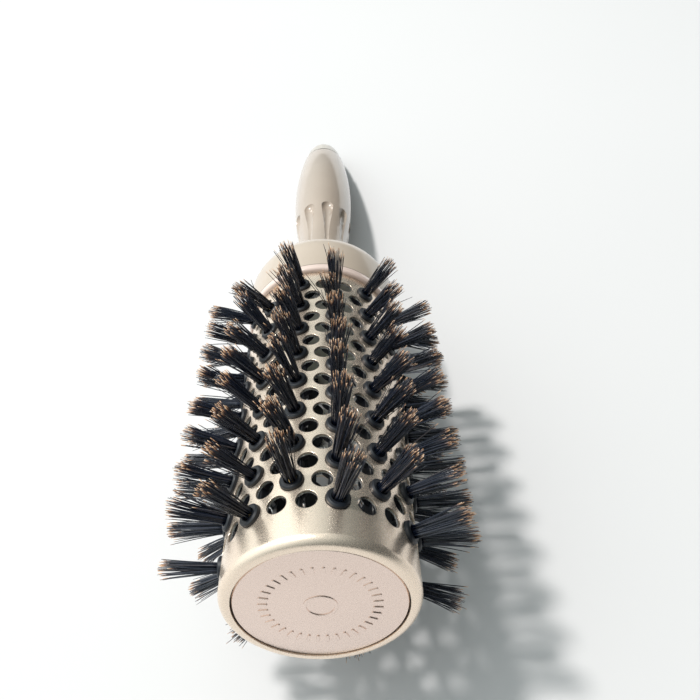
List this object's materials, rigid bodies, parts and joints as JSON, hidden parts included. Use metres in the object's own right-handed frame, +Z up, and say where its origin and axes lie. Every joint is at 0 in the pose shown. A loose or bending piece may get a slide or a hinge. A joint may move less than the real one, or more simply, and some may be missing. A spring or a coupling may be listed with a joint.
{
  "type": "round barrel hair brush",
  "caption": "Round thermal hair brush: perforated metal barrel with rows of mixed bristle tufts, domed collar, fluted spindle handle and a pull-out sectioning pin in its tail.",
  "frame": {"origin": "middle of the brush's box in plan, on the table it lies on", "axes": "+Z up; +Y from the end disc towards the handle's tail, +X to the right seen from the end disc; the brush axis dips about 11 degrees towards the tail because the brush lies on its rear tufts and its tail"},
  "size_m": [0.0728, 0.2498, 0.0844],
  "materials": {
    "barrel_coat": "satin",
    "disc_metal": "satin",
    "inner_plastic": "matte",
    "ring_gloss": "gloss",
    "handle_gloss": "satin",
    "cap_gloss": "satin",
    "steel": "polished",
    "anchor_wire": "satin",
    "sleeve_brass": "satin",
    "gasket_rubber": "matte",
    "strip_black": "satin",
    "bristle": "satin"
  },
  "bodies": {
    "brush": {"barrel_shell": "barrel_coat", "end_disc": "disc_metal", "front_hub": "inner_plastic", "rear_hub": "inner_plastic", "trim_ring": "ring_gloss", "collar": "handle_gloss", "handle_core": "inner_plastic", "handle_shell": "handle_gloss", "hub_screws": "steel", "tuft_anchors": "anchor_wire", "pin_sleeve": "sleeve_brass", "bristle_strip_01": "strip_black", "tuft_row_01": "bristle", "bristle_strip_02": "strip_black", "tuft_row_02": "bristle", "bristle_strip_03": "strip_black", "tuft_row_03": "bristle", "bristle_strip_04": "strip_black", "tuft_row_04": "bristle", "bristle_strip_05": "strip_black", "tuft_row_05": "bristle", "bristle_strip_06": "strip_black", "tuft_row_06": "bristle", "bristle_strip_07": "strip_black", "tuft_row_07": "bristle", "bristle_strip_08": "strip_black", "tuft_row_08": "bristle", "bristle_strip_09": "strip_black", "tuft_row_09": "bristle", "bristle_strip_10": "strip_black", "tuft_row_10": "bristle", "bristle_strip_11": "strip_black", "tuft_row_11": "bristle", "bristle_strip_12": "strip_black", "tuft_row_12": "bristle", "bristle_strip_13": "strip_black", "tuft_row_13": "bristle", "bristle_strip_14": "strip_black", "tuft_row_14": "bristle"},
    "pin": {"sectioning_pin": "steel", "pin_cap": "cap_gloss", "cap_gasket": "gasket_rubber"}
  },
  "joints": [
    {"name": "pin_slide", "type": "slide", "parent": "brush", "child": "pin", "axis": [0, 0.9826, -0.1858], "range_m": [0, 0.066]}
  ]
}
